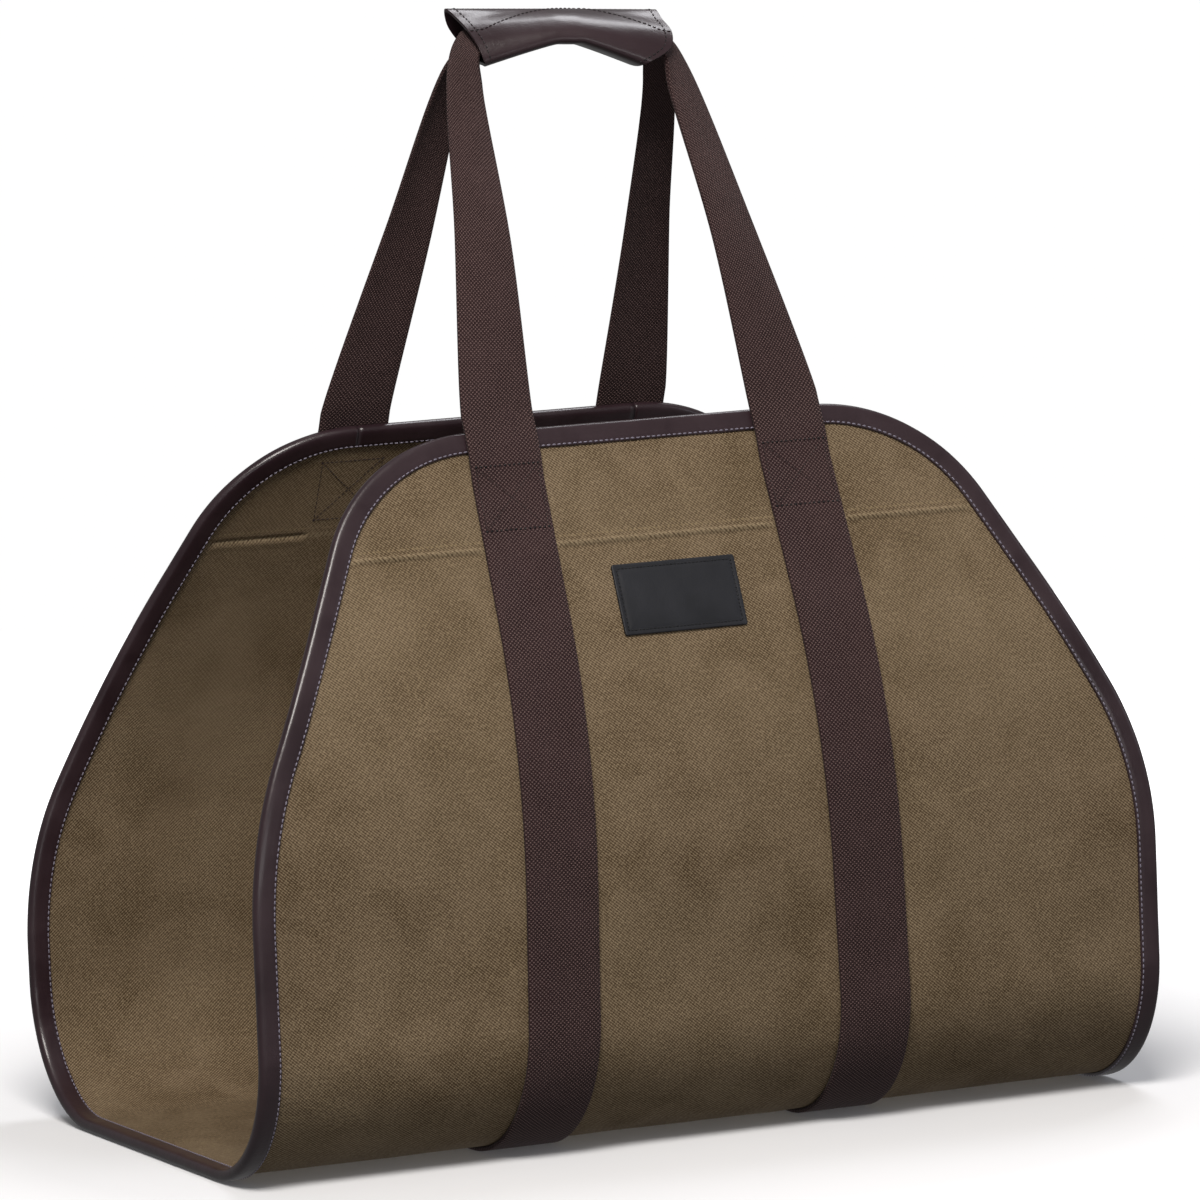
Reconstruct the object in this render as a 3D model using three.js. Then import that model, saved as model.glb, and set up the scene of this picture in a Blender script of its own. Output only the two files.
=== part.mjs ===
// Firewood carrier tote: one long canvas panel that hangs as a U, bound in leather all round,
// carried by two webbing loops that meet in a leather hand wrap.
// Millimetres, +Z up, X along the logs, -Y the front. The origin is under the middle of the base,
// at the undersides of the webbing that the tote stands on.
import * as THREE from 'three';

// Canvas, as it hangs
const toteWidth = 483; // along the logs
const baseFlat = 164; // flat of the base, front to back
const baseRadius = 67; // from the base up into the wall
const bellyHeight = 129; // where the upright wall starts to lean in
const leanRadius = 347;
const leanAngle = 23.4; // degrees from upright, near the top edge
const frontHeight = 350; // front top edge above the ground
const backDrop = 10; // the back top edge hangs lower than the front one
const canvasThick = 2;

// Outline of each end of the canvas, laid flat
const frontTopFlat = 187; // straight stretch of the front top edge
const backTopFlat = 157;
const shoulderRadius = 90;
const taperAngle = 25.6; // degrees from the sides
const hipRadius = 191; // from the taper into the straight side

// Seam across each end, and the soft waves of the cloth
const seamDrop = 58; // below the top edge
const seamWide = 5;
const seamRise = 1.2;

// Leather edge binding
const bindingThick = 1.5;
const bindingFace = 9;

// Webbing
const webWidth = 38;
const webThick = 2.2;
const webSpreadBase = 177; // between the centre lines, under the base
const webSpreadTop = 154; // between the centre lines, at the top edges
const webStandUp = 8; // straight stretch above the top edge

// Leather hand wrap over both loops
const wrapLength = 108;
const wrapBottom = 523; // height of its lower front edge
const wrapHeight = 26;
const wrapDepth = 38;
const wrapThick = 1.6;
const wrapTurn = -8; // degrees about the upright, against the tote
const wrapTilt = -3.2; // degrees about the line from front to back
const wrapShift = 5; // to the right

// Leather label, blank
const labelWidth = 66;
const labelHeight = 36;
const labelThick = 1.2;
const labelDrop = 71.5; // from the top edge to the label's upper edge
const labelCorner = 1.2;

const gap = 0.3; // between pieces that touch on the real one

// Waves in the cloth between the webbing and the edges. front: 1 is the front end, -1 the back end.
// zone: -1 left of the webbing, 0 between, 1 right of it. across and down: centre, as shares of
// the zone and of the end's length. tall: reach, as a share of that length. rise: outwards, in mm.
const waves = [
  { front: 1, zone: 0, across: 0.35, down: 0.42, tall: 0.16, rise: 1.8 },
  { front: 1, zone: 0, across: 0.65, down: 0.62, tall: 0.14, rise: -1.4 },
  { front: 1, zone: -1, across: 0.3, down: 0.5, tall: 0.18, rise: -2.2 },
  { front: 1, zone: 1, across: 0.4, down: 0.56, tall: 0.2, rise: 1.6 },
  { front: -1, zone: 0, across: 0.5, down: 0.48, tall: 0.2, rise: -2.4 },
  { front: -1, zone: -1, across: 0.45, down: 0.6, tall: 0.16, rise: 1.8 },
  { front: -1, zone: 1, across: 0.6, down: 0.44, tall: 0.18, rise: -1.6 },
];

// Section of the hand wrap, front bottom corner first and round over the top. back and up are
// shares of its depth and height, at its ends and at its middle. left and right are shares of half
// its length, because the ends are cut on a slant. throat is the share of that half which keeps
// the middle's place.
const wrapSection = [
  { endBack: -0.53, endUp: 0.0, midBack: -0.47, midUp: 0.42, left: 0.86, right: 0.67, throat: 0.15 },
  { endBack: -0.47, endUp: 0.31, midBack: -0.46, midUp: 0.6, left: 0.9, right: 0.93, throat: 0.15 },
  { endBack: -0.28, endUp: 0.6, midBack: -0.29, midUp: 0.84, left: 0.95, right: 0.99, throat: 0.1 },
  { endBack: -0.03, endUp: 0.82, midBack: -0.03, midUp: 0.98, left: 1.0, right: 0.96, throat: 0.1 },
  { endBack: 0.22, endUp: 1.0, midBack: 0.22, midUp: 1.0, left: 1.07, right: 0.94, throat: 0.1 },
  { endBack: 0.4, endUp: 0.68, midBack: 0.42, midUp: 0.84, left: 1.02, right: 0.9, throat: 0.1 },
  { endBack: 0.47, endUp: 0.34, midBack: 0.49, midUp: 0.62, left: 0.9, right: 0.82, throat: 0.15 },
  { endBack: 0.46, endUp: 0.02, midBack: 0.43, midUp: 0.42, left: 0.78, right: 0.73, throat: 0.15 },
  { endBack: -0.02, endUp: -0.06, midBack: -0.02, midUp: 0.35, left: 0.79, right: 0.65, throat: 0.15 },
];

// Route of a loop's two edges from the free stretch into the hand wrap, from the outside in.
// along, back and up are shares of half the wrap's length, of its depth and of its height, up
// from its bottom. curl is how far the webbing bows outwards, as a share of its width.
const frontRoute = [
  { inner: [0.89, -0.51, -0.45], outer: [1.14, -0.16, -0.03], curl: 0.05 },
  { inner: [0.87, -0.38, 0.18], outer: [1.0, 0.0, 0.48], curl: 0.01 },
  { inner: [0.6, -0.33, 0.4], outer: [0.82, 0.13, 0.7], curl: 0 },
  { inner: [0.0, -0.33, 0.62], outer: [0.0, 0.2, 0.8], curl: 0 },
];
const backRoute = [
  { inner: [0.86, 0.46, -0.28], outer: [1.07, 0.13, 0.0], curl: 0.05 },
  { inner: [0.82, 0.35, 0.15], outer: [0.93, -0.02, 0.25], curl: 0.01 },
  { inner: [0.58, 0.34, 0.32], outer: [0.68, -0.18, 0.3], curl: 0 },
  { inner: [0.0, 0.35, 0.57], outer: [0.0, -0.28, 0.51], curl: 0 },
];
// The middle of the free stretch: how far up it is, and how far each edge bows outwards there
const midRise = { share: 0.52, curl: 0.05 };
const frontBow = { inner: 13.5, outer: 10 };
const backBow = { inner: 1, outer: 9 };

// How finely the curves are cut
const shoulderSteps = 8;
const hipSteps = 5;
const baseSteps = 8;
const leanSteps = 4;
const rowSpacing = 1.5; // least distance between two rows
const handleSteps = [4, 5, 3, 3, 4]; // rings in each stretch of a loop, from the top edge inwards
const wrapShares = [-1, -0.86, -0.62, -0.32, 0, 0.32, 0.62, 0.86, 1];
const cornerSteps = 3;
const tiny = 1e-3; // share of a curve's length over which its direction is taken

const toRad = Math.PI / 180;
const lean = leanAngle * toRad;
const taper = taperAngle * toRad;
const canvasLow = webThick + gap;
const canvasHalf = toteWidth / 2;

const mix = (a, b, t) => a + (b - a) * t;
const mixPoint = (a, b, t) => a.map((value, i) => mix(value, b[i], t));

function smooth(t) {
  const held = Math.min(1, Math.max(0, t));
  return held * held * (3 - 2 * held);
}

// Lengths along the canvas from the middle of the base: flat, curve, upright, lean, straight
const endOfFlat = baseFlat / 2;
const endOfCurve = endOfFlat + (baseRadius * Math.PI) / 2;
const endOfUpright = endOfCurve + bellyHeight - (canvasLow + baseRadius);
const endOfLean = endOfUpright + leanRadius * lean;
const leanTop = bellyHeight + leanRadius * Math.sin(lean);

function endLength(front) {
  const height = front > 0 ? frontHeight : frontHeight - backDrop;
  return endOfLean + (height - leanTop) / Math.cos(lean);
}

// The canvas's outer face at a length from the base's middle, moved outwards by out
function profilePoint(front, length, out) {
  const wall = endOfFlat + baseRadius;
  let depth;
  let height;
  let slope;
  if (length <= endOfFlat) {
    slope = -Math.PI / 2;
    depth = length;
    height = canvasLow;
  } else if (length <= endOfCurve) {
    slope = (length - endOfFlat) / baseRadius - Math.PI / 2;
    depth = endOfFlat + baseRadius * Math.cos(slope);
    height = canvasLow + baseRadius + baseRadius * Math.sin(slope);
  } else if (length <= endOfUpright) {
    slope = 0;
    depth = wall;
    height = canvasLow + baseRadius + length - endOfCurve;
  } else {
    slope = (Math.min(length, endOfLean) - endOfUpright) / leanRadius;
    const beyond = Math.max(0, length - endOfLean);
    depth = wall - leanRadius * (1 - Math.cos(slope)) - beyond * Math.sin(slope);
    height = bellyHeight + leanRadius * Math.sin(slope) + beyond * Math.cos(slope);
  }
  const y = -front * (depth + out * Math.cos(slope));
  return [y, height + out * Math.sin(slope)];
}

// Drops where the outline changes: the shoulder's arc, the straight taper, the hip's arc
const shoulderTurn = Math.PI / 2 - taper;
const shoulderEnd = shoulderRadius * (1 - Math.cos(shoulderTurn));
const hipHalf = canvasHalf - hipRadius * (1 - Math.cos(taper));

function outlineOf(front) {
  const topHalf = (front > 0 ? frontTopFlat : backTopFlat) / 2;
  const shoulderHalf = topHalf + shoulderRadius * Math.sin(shoulderTurn);
  const hipStart = shoulderEnd + (hipHalf - shoulderHalf) / Math.tan(taper);
  return { topHalf, shoulderHalf, hipStart, hipEnd: hipStart + hipRadius * Math.sin(taper) };
}

// The outline's half width at a drop below the top edge, with the way its edge runs there
function outlineAt(front, drop) {
  const { topHalf, shoulderHalf, hipStart, hipEnd } = outlineOf(front);
  if (drop <= shoulderEnd) {
    const turn = Math.acos(1 - drop / shoulderRadius);
    return { half: topHalf + shoulderRadius * Math.sin(turn), turn };
  }
  if (drop <= hipStart) {
    return { half: shoulderHalf + (drop - shoulderEnd) * Math.tan(taper), turn: shoulderTurn };
  }
  if (drop <= hipEnd) {
    const left = Math.asin((hipEnd - drop) / hipRadius);
    return { half: canvasHalf - hipRadius * (1 - Math.cos(left)), turn: Math.PI / 2 - left };
  }
  return { half: canvasHalf, turn: Math.PI / 2 };
}

// Drops below one top edge where every sheet piece has a row, down to the base's middle
function endRows(front) {
  const total = endLength(front);
  const { hipStart, hipEnd } = outlineOf(front);
  const drops = [0, seamDrop - seamWide / 2, seamDrop, seamDrop + seamWide / 2];
  for (let i = 1; i <= shoulderSteps; i += 1) {
    drops.push(shoulderRadius * (1 - Math.cos((shoulderTurn * i) / shoulderSteps)));
  }
  for (let i = 0; i <= hipSteps; i += 1) {
    drops.push(mix(hipStart, hipEnd, i / hipSteps));
  }
  drops.push(total - endOfLean);
  for (let i = 0; i < leanSteps; i += 1) {
    drops.push(total - mix(endOfUpright, endOfLean, i / leanSteps));
  }
  for (let i = 0; i <= baseSteps; i += 1) {
    drops.push(total - mix(endOfFlat, endOfCurve, i / baseSteps));
  }
  drops.sort((a, b) => a - b);
  const apart = (drop, i) => i < 2 || drop - drops[i - 1] > rowSpacing;
  return drops.filter((drop, i) => apart(drop, i) || keepsRow(drop, front));
}

function keepsRow(drop, front) {
  const total = endLength(front);
  const kept = [seamDrop, total - endOfFlat, total - endOfCurve, total - endOfUpright];
  return kept.some((value) => Math.abs(value - drop) < 1e-9);
}

// Rows of the whole canvas, front top edge to back top edge
function canvasRows() {
  const rows = endRows(1).map((drop) => ({ front: 1, drop }));
  rows.push({ front: 1, drop: endLength(1) });
  const back = endRows(-1).map((drop) => ({ front: -1, drop }));
  return rows.concat(back.reverse());
}

function webCentre(front, drop) {
  const share = Math.min(1, Math.max(0, drop) / endLength(front));
  return mix(webSpreadTop, webSpreadBase, share) / 2;
}

// How far the cloth stands out of its plain form: the seam and the waves, none under the webbing
function clothRise(front, drop, zone, across) {
  if (zone === null || across <= 0 || across >= 1) {
    return 0;
  }
  const fromSeam = Math.abs(drop - seamDrop) / (seamWide / 2);
  let rise = fromSeam < 1 ? seamRise * (1 - fromSeam) : 0;
  for (const wave of waves) {
    if (wave.front === front && wave.zone === zone) {
      const away = Math.abs(drop / endLength(front) - wave.down) / wave.tall;
      const width = wave.across < 0.5 ? 1 - wave.across : wave.across;
      const aside = Math.abs(across - wave.across) / width;
      rise += wave.rise * smooth(1 - away) * smooth(1.3 - aside);
    }
  }
  return rise;
}

// Places across one row: the zones beside and between the webbing, in thirds, inside the binding
function canvasColumns(front, drop) {
  const { half, turn } = outlineAt(front, drop);
  const centre = webCentre(front, drop);
  const thirds = 3;
  const least = 0.5;
  const beside = half - (bindingFace + 2 * least) / Math.max(Math.sin(turn), least);
  const outer = Math.min(centre + webWidth / 2, half - (thirds + 1) * least);
  const edge = Math.max(outer + thirds * least, beside);
  const inner = Math.min(centre - webWidth / 2, outer - least);
  const columns = [{ x: -half, zone: null, across: 0 }];
  for (let i = 0; i <= thirds; i += 1) {
    columns.push({ x: mix(-edge, -outer, i / thirds), zone: -1, across: i / thirds });
  }
  for (let i = 0; i <= thirds; i += 1) {
    columns.push({ x: mix(-inner, inner, i / thirds), zone: 0, across: i / thirds });
  }
  for (let i = 0; i <= thirds; i += 1) {
    columns.push({ x: mix(outer, edge, i / thirds), zone: 1, across: i / thirds });
  }
  columns.push({ x: half, zone: null, across: 0 });
  return columns;
}

function onCanvas(front, drop, x, out) {
  const [y, z] = profilePoint(front, endLength(front) - drop, out);
  return [x, y, z];
}

// A closed body through rings of points: each ring is an outer row and an inner row of one length
function sweptBody(rings) {
  const count = rings[0].outer.length;
  const positions = [];
  for (const ring of rings) {
    for (const point of ring.outer.concat([...ring.inner].reverse())) {
      positions.push(...point);
    }
  }
  const around = 2 * count;
  const faces = [];
  for (let r = 0; r + 1 < rings.length; r += 1) {
    for (let i = 0; i < around; i += 1) {
      const next = (i + 1) % around;
      const a = r * around + i;
      const b = r * around + next;
      faces.push(a, b, b + around, a, b + around, a + around);
    }
  }
  const last = (rings.length - 1) * around;
  for (let i = 0; i + 1 < count; i += 1) {
    const far = around - 1 - i;
    faces.push(i, far, far - 1, i, far - 1, i + 1);
    faces.push(last + i, last + i + 1, last + far - 1, last + i, last + far - 1, last + far);
  }
  return bodyFrom(positions, faces);
}

// A tube with a wall, open at both ends, through rings whose rows close on themselves
function openTube(rings) {
  const count = rings[0].outer.length;
  const positions = [];
  for (const ring of rings) {
    for (const point of ring.outer.concat(ring.inner)) {
      positions.push(...point);
    }
  }
  const step = 2 * count;
  const faces = [];
  const quad = (a, b, c, d) => faces.push(a, b, c, a, c, d);
  for (let i = 0; i < count; i += 1) {
    const next = (i + 1) % count;
    for (let r = 0; r + 1 < rings.length; r += 1) {
      const base = r * step;
      quad(base + i, base + next, base + step + next, base + step + i);
      quad(base + count + next, base + count + i, base + step + count + i, base + step + count + next);
    }
    const last = (rings.length - 1) * step;
    quad(next, i, count + i, count + next);
    quad(last + i, last + next, last + count + next, last + count + i);
  }
  return bodyFrom(positions, faces);
}

// A geometry with its faces pointing out
function bodyFrom(positions, faces) {
  const at = (i) => new THREE.Vector3(positions[3 * i], positions[3 * i + 1], positions[3 * i + 2]);
  let volume = 0;
  for (let i = 0; i < faces.length; i += 3) {
    volume += at(faces[i]).dot(at(faces[i + 1]).cross(at(faces[i + 2])));
  }
  if (volume < 0) {
    faces.reverse();
  }
  const geometry = new THREE.BufferGeometry();
  geometry.setAttribute('position', new THREE.Float32BufferAttribute(positions, 3));
  geometry.setIndex(faces);
  geometry.computeVertexNormals();
  return geometry;
}

function canvasBody() {
  const rings = canvasRows().map(({ front, drop }) => {
    const place = (lift) => canvasColumns(front, drop).map(({ x, zone, across }) => (
      onCanvas(front, drop, x, lift + clothRise(front, drop, zone, across))
    ));
    return { outer: place(0), inner: place(-canvasThick) };
  });
  return sweptBody(rings);
}

// The binding's U section: how far in from the cloth's edge, and how far out of its outer face
function bindingSection() {
  const middle = -canvasThick / 2;
  const outerReach = gap + bindingThick;
  const pairs = [{ outer: [bindingFace, outerReach], inner: [bindingFace, gap] }];
  for (const degrees of [90, 30, -30, -90]) {
    const c = Math.cos(degrees * toRad);
    const s = Math.sin(degrees * toRad);
    const halfCanvas = canvasThick / 2;
    pairs.push({
      outer: [-outerReach * c, middle + (halfCanvas + outerReach) * s],
      inner: [-gap * c, middle + (halfCanvas + gap) * s],
    });
  }
  pairs.push({
    outer: [bindingFace, -canvasThick - outerReach],
    inner: [bindingFace, -canvasThick - gap],
  });
  return pairs;
}

// One ring of binding at a place on the outline; side is 1 right or -1 left
function bindingRing(front, drop, x, turn, side) {
  const section = bindingSection();
  const place = ([inward, out]) => (
    onCanvas(front, drop + inward * Math.cos(turn), x - side * inward * Math.sin(turn), out)
  );
  return {
    outer: section.map((pair) => place(pair.outer)),
    inner: section.map((pair) => place(pair.inner)),
  };
}

function sideBinding(side) {
  const joint = webSpreadTop / 2 + gap / 2;
  const along = canvasRows().map(({ front, drop }) => {
    const { half, turn } = outlineAt(front, drop);
    return bindingRing(front, drop, side * half, turn, side);
  });
  const first = bindingRing(1, 0, side * joint, 0, side);
  const last = bindingRing(-1, 0, side * joint, 0, side);
  return sweptBody([first, ...along, last]);
}

function topBinding(front) {
  const joint = webSpreadTop / 2 - gap / 2;
  return sweptBody([bindingRing(front, 0, -joint, 0, 1), bindingRing(front, 0, joint, 0, 1)]);
}

const acrossWeb = [-1, -0.5, 0, 0.5, 1];

// The webbing lies on the canvas, and steps up over the binding at the top edge
function webLift(drop) {
  const over = 1 - smooth((drop - bindingFace) / (2 * bindingFace));
  return gap + (gap + bindingThick) * over;
}

function panelRing(front, drop, side) {
  const centre = webCentre(front, drop);
  const lift = webLift(drop);
  const place = (out) => acrossWeb.map((share) => (
    onCanvas(front, drop, side * (centre + (share * webWidth) / 2), out)
  ));
  return { outer: place(lift + webThick), inner: place(lift) };
}

// Turns, tilts and shifts a point, fully at the wrap and not at all at the top edge
function turned([x, y, z]) {
  const share = smooth((z - frontHeight) / (wrapBottom - frontHeight));
  const c = Math.cos(wrapTurn * toRad * share);
  const s = Math.sin(wrapTurn * toRad * share);
  const lift = x * Math.tan(wrapTilt * toRad);
  return [x * c - y * s + wrapShift * share, x * s + y * c, z + lift * share];
}

function inWrap([along, back, up]) {
  return [(along * wrapLength) / 2, back * wrapDepth, wrapBottom + up * wrapHeight];
}

// Edge points of one half of a loop above the top edge, right side, and the curl at each
function halfRoute(front) {
  const centre = webCentre(front, 0);
  const middle = webLift(0) + webThick / 2;
  const route = front > 0 ? frontRoute : backRoute;
  const edgePair = (drop) => ({
    inner: onCanvas(front, drop, centre - webWidth / 2, middle),
    outer: onCanvas(front, drop, centre + webWidth / 2, middle),
    curl: 0,
  });
  const low = edgePair(-webStandUp);
  const mouth = { inner: inWrap(route[0].inner), outer: inWrap(route[0].outer) };
  const rise = {
    inner: mixPoint(low.inner, mouth.inner, midRise.share),
    outer: mixPoint(low.outer, mouth.outer, midRise.share),
    curl: midRise.curl,
  };
  const bow = front > 0 ? frontBow : backBow;
  rise.inner[1] -= front * bow.inner;
  rise.outer[1] -= front * bow.outer;
  const inside = route.map((row) => ({
    inner: inWrap(row.inner), outer: inWrap(row.outer), curl: row.curl,
  }));
  return [edgePair(0), low, rise, ...inside];
}

// Rings of a loop's handle, from right to left, above the stretches on the canvas
function handleRings(front) {
  const right = halfRoute(front);
  const left = right.slice(0, -1).reverse().map(({ inner, outer, curl }) => ({
    inner: [-inner[0], inner[1], inner[2]], outer: [-outer[0], outer[1], outer[2]], curl,
  }));
  const all = right.concat(left);
  const curve = (key) => new THREE.CatmullRomCurve3(
    all.map((row) => new THREE.Vector3(...turned(row[key]))), false, 'centripetal',
  );
  const innerEdge = curve('inner');
  const outerEdge = curve('outer');
  const spans = all.length - 1;
  const curlAt = (u) => {
    const span = Math.min(spans - 1, Math.floor(u * spans));
    return mix(all[span].curl, all[span + 1].curl, smooth(u * spans - span));
  };
  const flat = (u, share) => {
    const a = innerEdge.getPoint(u);
    const b = outerEdge.getPoint(u);
    return a.lerp(b, (share + 1) / 2);
  };
  const outward = (u, share) => {
    const along = flat(Math.min(1, u + tiny), share).sub(flat(Math.max(0, u - tiny), share));
    const across = flat(u, 1).sub(flat(u, -1));
    return across.cross(along).multiplyScalar(front).normalize();
  };
  const bowed = (u, share) => {
    const bow = curlAt(u) * webWidth * (1 - share * share);
    return flat(u, share).addScaledVector(outward(u, 0), bow);
  };
  const places = [];
  handleSteps.concat([...handleSteps].reverse()).forEach((count, i) => {
    for (let k = 0; k < count; k += 1) {
      places.push((i + 1 + k / count) / spans);
    }
  });
  places.shift();
  return places.map((u) => {
    const place = (out) => acrossWeb.map((share) => (
      bowed(u, share).addScaledVector(outward(u, share), out).toArray()
    ));
    return { outer: place(webThick / 2), inner: place(-webThick / 2) };
  });
}

function webbingLoop(front) {
  const up = (side) => endRows(front).reverse().map((drop) => panelRing(front, drop, side));
  const start = (side) => {
    const foot = panelRing(front, endLength(front), side);
    const apart = (row) => row.map(([x, y, z]) => [x, y - (front * gap) / 2, z]);
    return { outer: apart(foot.outer), inner: apart(foot.inner) };
  };
  const climb = (side) => [start(side), ...up(side), panelRing(front, -webStandUp, side)];
  return sweptBody([...climb(1), ...handleRings(front), ...climb(-1).reverse()]);
}

function handWrap() {
  const rings = wrapShares.map((share) => {
    const section = wrapSection.map((row) => {
      const open = Math.max(0, (Math.abs(share) - row.throat) / (1 - row.throat));
      const back = mix(row.midBack, row.endBack, open) * wrapDepth;
      const rise = mix(row.midUp, row.endUp, open) * wrapHeight;
      const reach = share < 0 ? row.left : row.right;
      return { back, rise, along: (share * reach * wrapLength) / 2 };
    });
    const count = section.length;
    const place = (inset) => section.map((point, i) => {
      const before = section[(i + count - 1) % count];
      const after = section[(i + 1) % count];
      const normal = new THREE.Vector2(before.rise - after.rise, after.back - before.back);
      normal.normalize();
      const back = point.back - inset * normal.x;
      return turned([point.along, back, wrapBottom + point.rise - inset * normal.y]);
    });
    return { outer: place(0), inner: place(wrapThick) };
  });
  return openTube(rings);
}

function labelPatch() {
  const corners = [];
  const w = labelWidth / 2 - labelCorner;
  const h = labelHeight / 2 - labelCorner;
  const middle = labelDrop + labelHeight / 2;
  for (const [i, [sx, sy]] of [[1, 1], [-1, 1], [-1, -1], [1, -1]].entries()) {
    for (let k = 0; k < cornerSteps; k += 1) {
      const angle = (i + k / (cornerSteps - 1)) * (Math.PI / 2);
      const x = sx * w + labelCorner * Math.cos(angle);
      corners.push([x, middle - sy * h - labelCorner * Math.sin(angle)]);
    }
  }
  const flat = (out) => corners.map(([x, drop]) => onCanvas(1, drop, x, out));
  const half = corners.length / 2;
  const fold = (ring) => ({ outer: ring.slice(0, half), inner: ring.slice(half).reverse() });
  return sweptBody([fold(flat(gap)), fold(flat(gap + labelThick))]);
}

const canvasCloth = new THREE.MeshStandardMaterial({ color: '#6e5c43', roughness: 0.85, metalness: 0 });
const webbingYarn = new THREE.MeshStandardMaterial({ color: '#3a2426', roughness: 0.9, metalness: 0 });
const bindingLeather = new THREE.MeshStandardMaterial({ color: '#453338', roughness: 0.45, metalness: 0 });
const wrapLeather = new THREE.MeshStandardMaterial({ color: '#42302f', roughness: 0.4, metalness: 0 });
const labelLeather = new THREE.MeshStandardMaterial({ color: '#1e2226', roughness: 0.5, metalness: 0 });

const tote = new THREE.Group();

function addPiece(name, geometry, material) {
  const mesh = new THREE.Mesh(geometry, material);
  mesh.name = name;
  tote.add(mesh);
}

addPiece('canvas_body', canvasBody(), canvasCloth);
addPiece('binding_left', sideBinding(-1), bindingLeather);
addPiece('binding_right', sideBinding(1), bindingLeather);
addPiece('binding_front_top', topBinding(1), bindingLeather);
addPiece('binding_back_top', topBinding(-1), bindingLeather);
addPiece('front_webbing', webbingLoop(1), webbingYarn);
addPiece('back_webbing', webbingLoop(-1), webbingYarn);
addPiece('handle_wrap', handWrap(), wrapLeather);
addPiece('label_patch', labelPatch(), labelLeather);

export default tote;
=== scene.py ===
import math

import bpy
import numpy as np
from mathutils import Matrix, Vector, noise


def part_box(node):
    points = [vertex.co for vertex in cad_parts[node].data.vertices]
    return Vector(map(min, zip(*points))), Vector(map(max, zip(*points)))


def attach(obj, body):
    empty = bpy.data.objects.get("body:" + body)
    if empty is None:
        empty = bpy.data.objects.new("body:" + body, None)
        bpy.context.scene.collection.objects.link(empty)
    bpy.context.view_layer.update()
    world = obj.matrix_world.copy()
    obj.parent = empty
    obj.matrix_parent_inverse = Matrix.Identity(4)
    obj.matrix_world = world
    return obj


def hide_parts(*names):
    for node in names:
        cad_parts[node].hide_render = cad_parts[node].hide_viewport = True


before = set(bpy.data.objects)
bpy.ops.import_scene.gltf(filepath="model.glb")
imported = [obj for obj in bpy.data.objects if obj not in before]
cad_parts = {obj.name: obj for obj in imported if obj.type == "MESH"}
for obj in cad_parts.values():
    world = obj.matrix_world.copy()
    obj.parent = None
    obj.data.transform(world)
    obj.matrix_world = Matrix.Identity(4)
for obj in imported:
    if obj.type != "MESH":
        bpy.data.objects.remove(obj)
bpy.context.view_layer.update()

# Sizes are in millimetres here, and become metres when a mesh is made
mm = 0.001
canvasLowCorner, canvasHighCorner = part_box("canvas_body")

panel = {
    "wide": (canvasHighCorner[0] - canvasLowCorner[0]) / mm,
    "baseFlat": 164, "baseRadius": 67,
    "bellyHeight": 129, "leanRadius": 347, "lean": math.radians(23.4),
    "frontHeight": 350, "backDrop": 10,
    "thick": 2, "low": 2.5,                        # the webbing underneath lifts it
    "topFlat": {1: 187, -1: 157},                  # front and back
    "shoulder": 90, "taper": math.radians(25.6), "hip": 191,
    "seamDrop": 58, "seamWide": 3.2, "seamRise": 0.9, "hemRise": 0.3,
    "step": 3.4, "edgeRows": (0.0, 0.3, 1.0, 2.0), "seamRow": 0.8,   # mesh spacing
    "twillLine": 1.18, "twillDot": 1.6, "cordTwist": 2.1,   # one repeat, about the finest to show
    "weltHalf": 1.7, "rowAbove": 3.9, "rowHalf": 0.7,
}
web = {
    "wide": 38, "thick": 2.2, "spreadBase": 177, "spreadTop": 154,
    "standUp": 8, "gap": 0.3, "slack": 0.2, "step": 4.0, "loopRings": 150,
    "knuckleWide": 2.1, "knuckleLong": 2.0,
    "boxTop": 17, "boxBottom": 49.5, "boxHalf": 16.5,
}
edge = {
    "thick": 1.5, "face": 9, "gap": 0.3, "step": 3.0, "stitchIn": 8.1,
    "bendOut": 0.2, "bendIn": 0.4, "bendUp": 0.1, "bendSides": 8,
    "waver": 0.25, "puff": 0.14,
}


def smooth(t):
    held = min(1.0, max(0.0, t))
    return held * held * (3 - 2 * held)


def mix(a, b, t):
    return a + (b - a) * t


def mixPoint(a, b, t):
    return tuple(mix(p, q, t) for p, q in zip(a, b))


# The panel's shape: where a place on the flat cloth lies when it hangs
endOfFlat = panel["baseFlat"] / 2
endOfCurve = endOfFlat + panel["baseRadius"] * math.pi / 2
endOfUpright = endOfCurve + panel["bellyHeight"] - panel["low"] - panel["baseRadius"]
endOfLean = endOfUpright + panel["leanRadius"] * panel["lean"]
leanTop = panel["bellyHeight"] + panel["leanRadius"] * math.sin(panel["lean"])


def endLength(front):
    height = panel["frontHeight"] - (0 if front > 0 else panel["backDrop"])
    return endOfLean + (height - leanTop) / math.cos(panel["lean"])


def onPanel(front, drop, x, out):
    length = endLength(front) - drop
    wall = endOfFlat + panel["baseRadius"]
    if length <= endOfFlat:
        slope, depth, height = -math.pi / 2, length, panel["low"]
    elif length <= endOfCurve:
        slope = (length - endOfFlat) / panel["baseRadius"] - math.pi / 2
        depth = endOfFlat + panel["baseRadius"] * math.cos(slope)
        height = panel["low"] + panel["baseRadius"] * (1 + math.sin(slope))
    elif length <= endOfUpright:
        slope, depth = 0.0, wall
        height = panel["low"] + panel["baseRadius"] + length - endOfCurve
    else:
        slope = (min(length, endOfLean) - endOfUpright) / panel["leanRadius"]
        beyond = max(0.0, length - endOfLean)
        depth = wall - panel["leanRadius"] * (1 - math.cos(slope)) - beyond * math.sin(slope)
        height = panel["bellyHeight"] + panel["leanRadius"] * math.sin(slope)
        height += beyond * math.cos(slope)
    return (x, -front * (depth + out * math.cos(slope)), height + out * math.sin(slope))


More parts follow.
